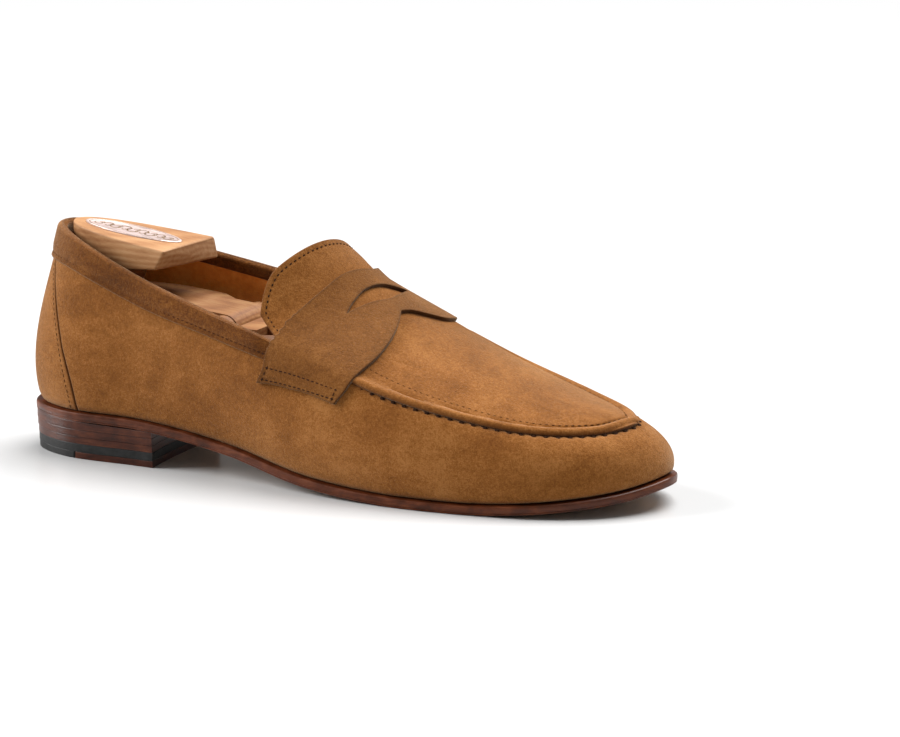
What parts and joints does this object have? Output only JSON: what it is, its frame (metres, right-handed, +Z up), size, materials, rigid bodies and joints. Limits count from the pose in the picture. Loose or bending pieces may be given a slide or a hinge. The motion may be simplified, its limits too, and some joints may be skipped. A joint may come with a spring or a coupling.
{
  "type": "suede penny loafer with shoe tree",
  "caption": "Right suede penny loafer with raised moccasin apron, slotted saddle strap, folded collar and stacked heel, stored with a hinged cedar shoe tree inside.",
  "frame": {"origin": "bottom centre of the bounding box, on the ground under the middle of the shoe", "axes": "+X from the heel to the toe, +Y to the inner (medial) side of a right shoe, +Z up"},
  "size_m": [0.2968, 0.0926, 0.1005],
  "materials": {
    "sole_leather": "dark stained, polished edge",
    "stack_leather": "dark stained stacked leather",
    "black_rubber": "moulded, dull",
    "cork": "granular cork filler, pressed",
    "board": "fibre board",
    "lining_leather": "smooth vegetable-tanned lining",
    "steel": "plain steel",
    "brass": "plain brass",
    "suede": "napped suede, tan brown",
    "collar_suede": "napped suede, dark brown",
    "thermoplastic": "stiffener sheet",
    "cedar": "sanded cedar, unfinished",
    "plaque_metal": "satin stamped plate"
  },
  "bodies": {
    "shoe": {"outsole": "sole_leather", "cork_filler": "cork", "insole_board": "board", "sock_liner": "lining_leather", "shank": "steel", "top_piece_leather": "stack_leather", "top_piece_rubber": "black_rubber", "heel_rubber_lift": "black_rubber", "heel_lift_1": "stack_leather", "heel_lift_2": "stack_leather", "heel_seat_lift": "stack_leather", "heel_nail_1": "steel", "heel_nail_2": "steel", "heel_nail_3": "steel", "heel_nail_4": "steel", "upper_wall": "suede", "back_piece": "suede", "heel_counter": "thermoplastic", "side_stiffener_outer": "thermoplastic", "side_stiffener_inner": "thermoplastic", "toe_puff": "thermoplastic", "quarter_lining": "lining_leather", "vamp_lining": "lining_leather", "collar_binding": "collar_suede", "apron_with_tongue": "suede", "tongue_lining": "lining_leather", "apron_lining": "lining_leather", "apron_seam_roll": "suede", "saddle_strap": "suede", "tree_spine": "cedar", "tree_hinge_pin": "brass", "tree_guide_1": "steel", "tree_guide_2": "steel", "tree_spring_outer": "steel", "tree_spring_inner": "steel"},
    "tree_heel": {"tree_plank": "cedar", "tree_heel_block": "cedar", "tree_dowel_1": "cedar", "tree_dowel_2": "cedar", "tree_plaque": "plaque_metal"},
    "tree_outer_half": {"tree_toe_outer": "cedar"},
    "tree_inner_half": {"tree_toe_inner": "cedar"}
  },
  "joints": [
    {"name": "tree_hinge", "type": "hinge", "parent": "shoe", "child": "tree_heel", "pos_m": [-0.05112, 0.00032, 0.06], "axis": [0, 1, 0], "range_deg": [0, 38]},
    {"name": "outer_half_spring", "type": "slide", "parent": "shoe", "child": "tree_outer_half", "axis": [0, 1, 0], "range_m": [0, 0.003], "stiffness_N_per_m": 1500, "springref_m": -0.002, "deforming": ["tree_spring_outer"]},
    {"name": "inner_half_spring", "type": "slide", "parent": "shoe", "child": "tree_inner_half", "axis": [0, -1, 0], "range_m": [0, 0.003], "stiffness_N_per_m": 1500, "springref_m": -0.002, "deforming": ["tree_spring_inner"]}
  ]
}
